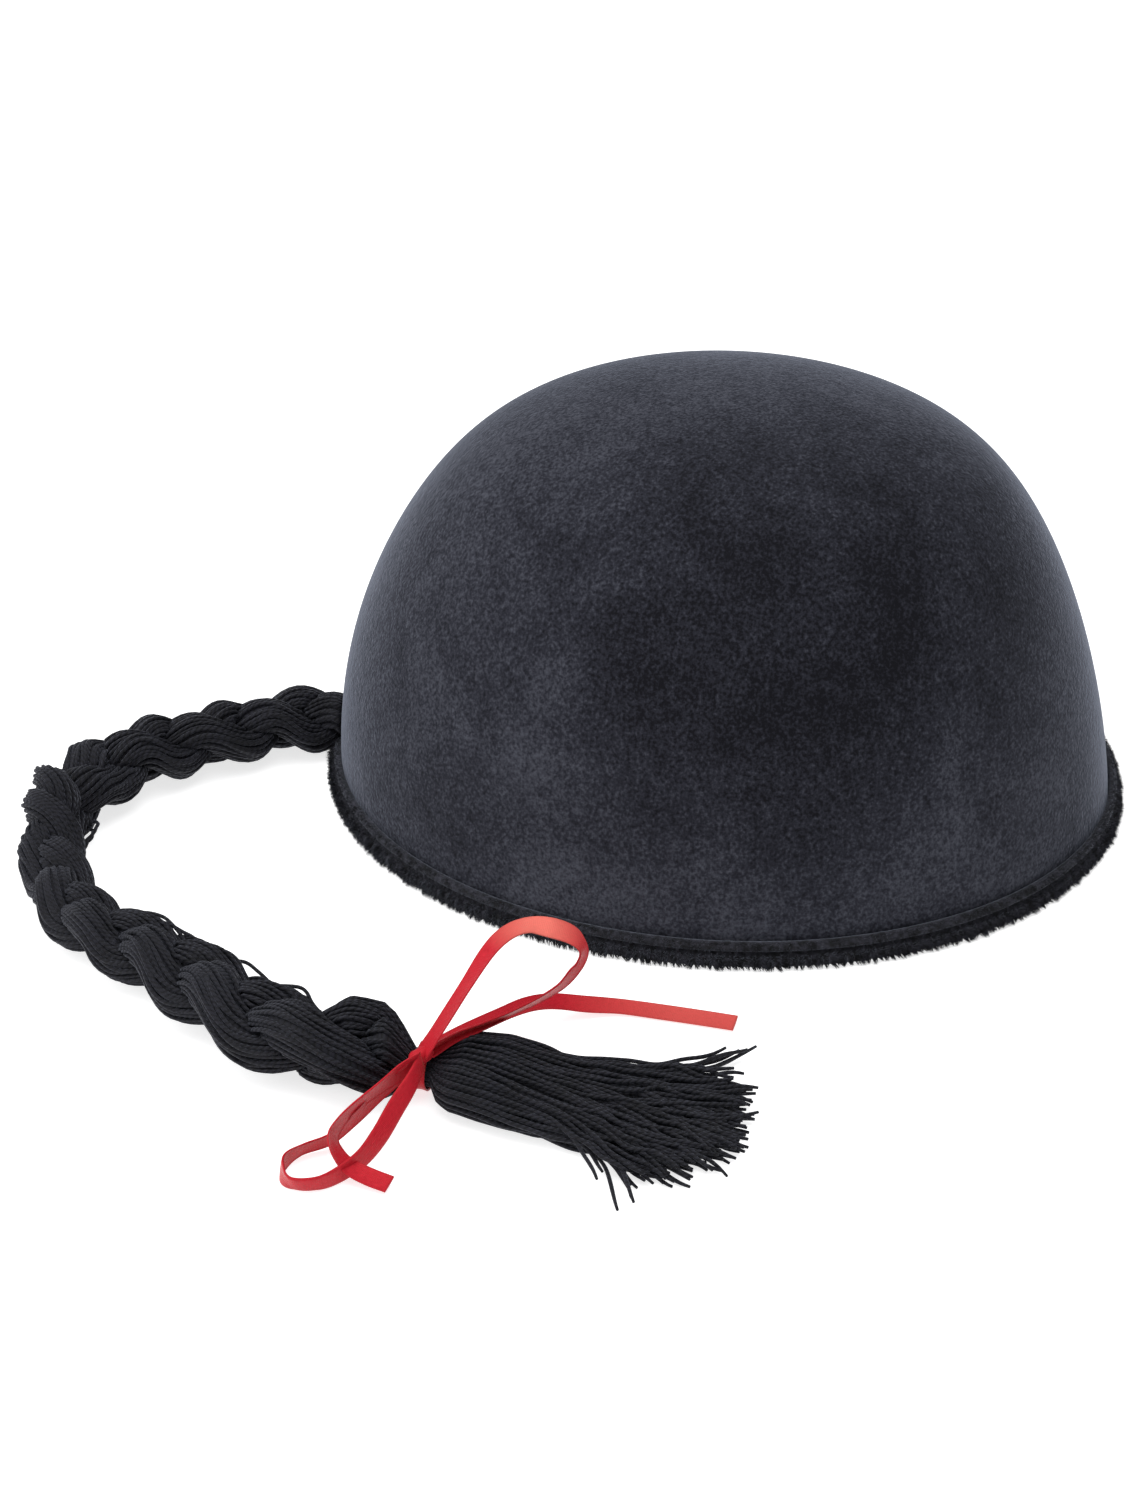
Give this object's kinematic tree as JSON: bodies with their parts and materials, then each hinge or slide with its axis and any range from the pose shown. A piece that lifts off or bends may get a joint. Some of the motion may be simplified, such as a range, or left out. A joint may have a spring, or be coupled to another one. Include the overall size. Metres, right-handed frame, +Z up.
{
  "type": "skullcap with a plaited yarn queue",
  "caption": "Round velvet dome cap with a pile-bound rim and a long plait of black yarn at its back, ending in a tassel tied with a red ribbon bow",
  "frame": {"origin": "centre of the cap's oval rim, on the surface that the cap stands on", "axes": "+Z up, +Y towards the back of the head, where the plait is sewn on, +X to the side away from the plait"},
  "size_m": [0.295, 0.2719, 0.1108],
  "materials": {
    "crown_velvet": "short-pile velvet in blue black, brushed in soft patches",
    "binding_pile": "longer black pile cloth, folded over the rim and sewn",
    "yarn": "two-ply black acrylic yarn, dull with a fine fuzz",
    "ribbon_satin": "narrow red satin ribbon with a soft sheen"
  },
  "bodies": {
    "root": {"crown": "crown_velvet", "rim_binding": "binding_pile", "braid_strand_1": "yarn", "braid_strand_2": "yarn", "braid_strand_3": "yarn", "tassel": "yarn", "ribbon_bow": "ribbon_satin"}
  },
  "joints": []
}
